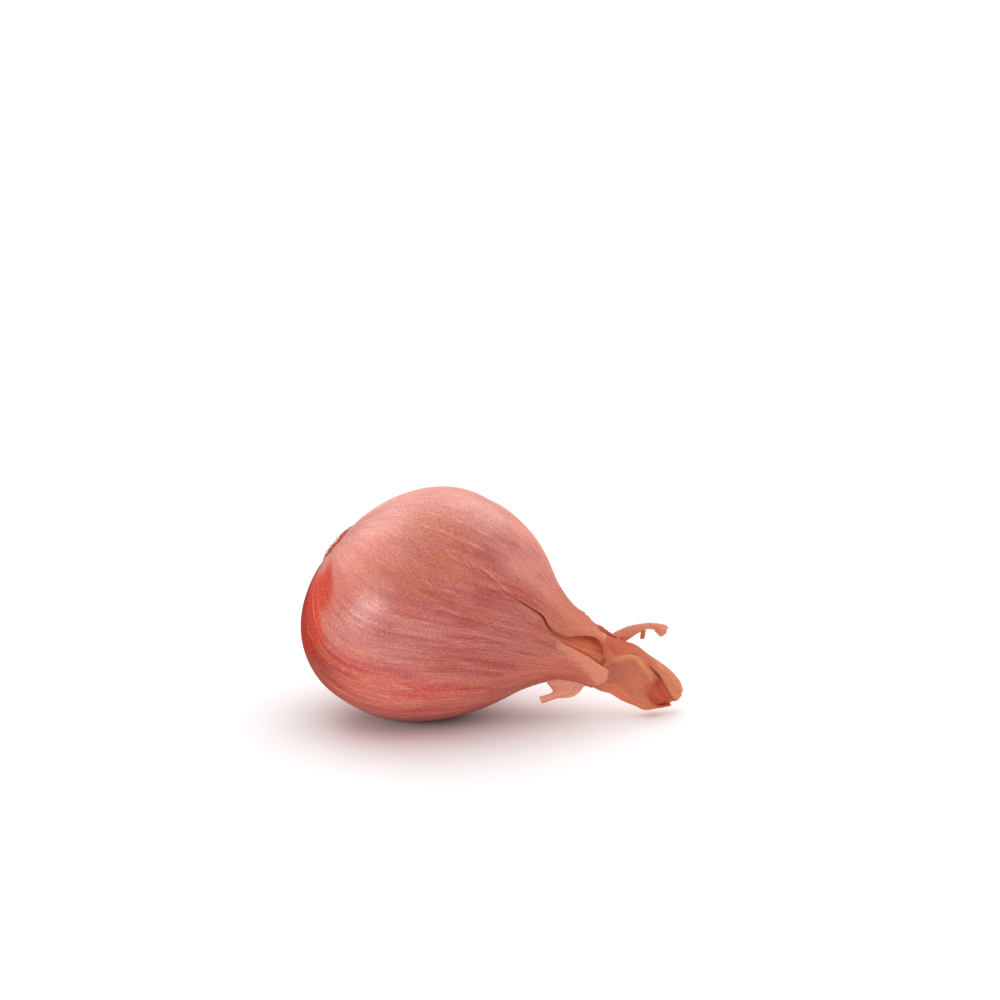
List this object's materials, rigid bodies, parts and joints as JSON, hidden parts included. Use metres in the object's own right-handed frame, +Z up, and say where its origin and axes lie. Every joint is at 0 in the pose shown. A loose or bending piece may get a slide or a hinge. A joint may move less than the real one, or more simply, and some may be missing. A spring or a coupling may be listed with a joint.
{
  "type": "shallot",
  "caption": "Whole shallot lying on its belly, with a papery outer skin split at the neck, torn skin shreds, a withered twisted neck and a root plate.",
  "frame": {"origin": "centre of the small flat spot under the belly, on the surface it rests on", "axes": "+X from the root end towards the neck, +Z up"},
  "size_m": [0.0649, 0.0426, 0.0399],
  "materials": {
    "outer_skin": "satin",
    "bulb": "satin",
    "neck": "matte",
    "root_plate": "matte"
  },
  "bodies": {
    "root": {"bulb": "bulb", "outer_skin": "outer_skin", "neck": "neck", "root_plate": "root_plate"}
  },
  "joints": []
}
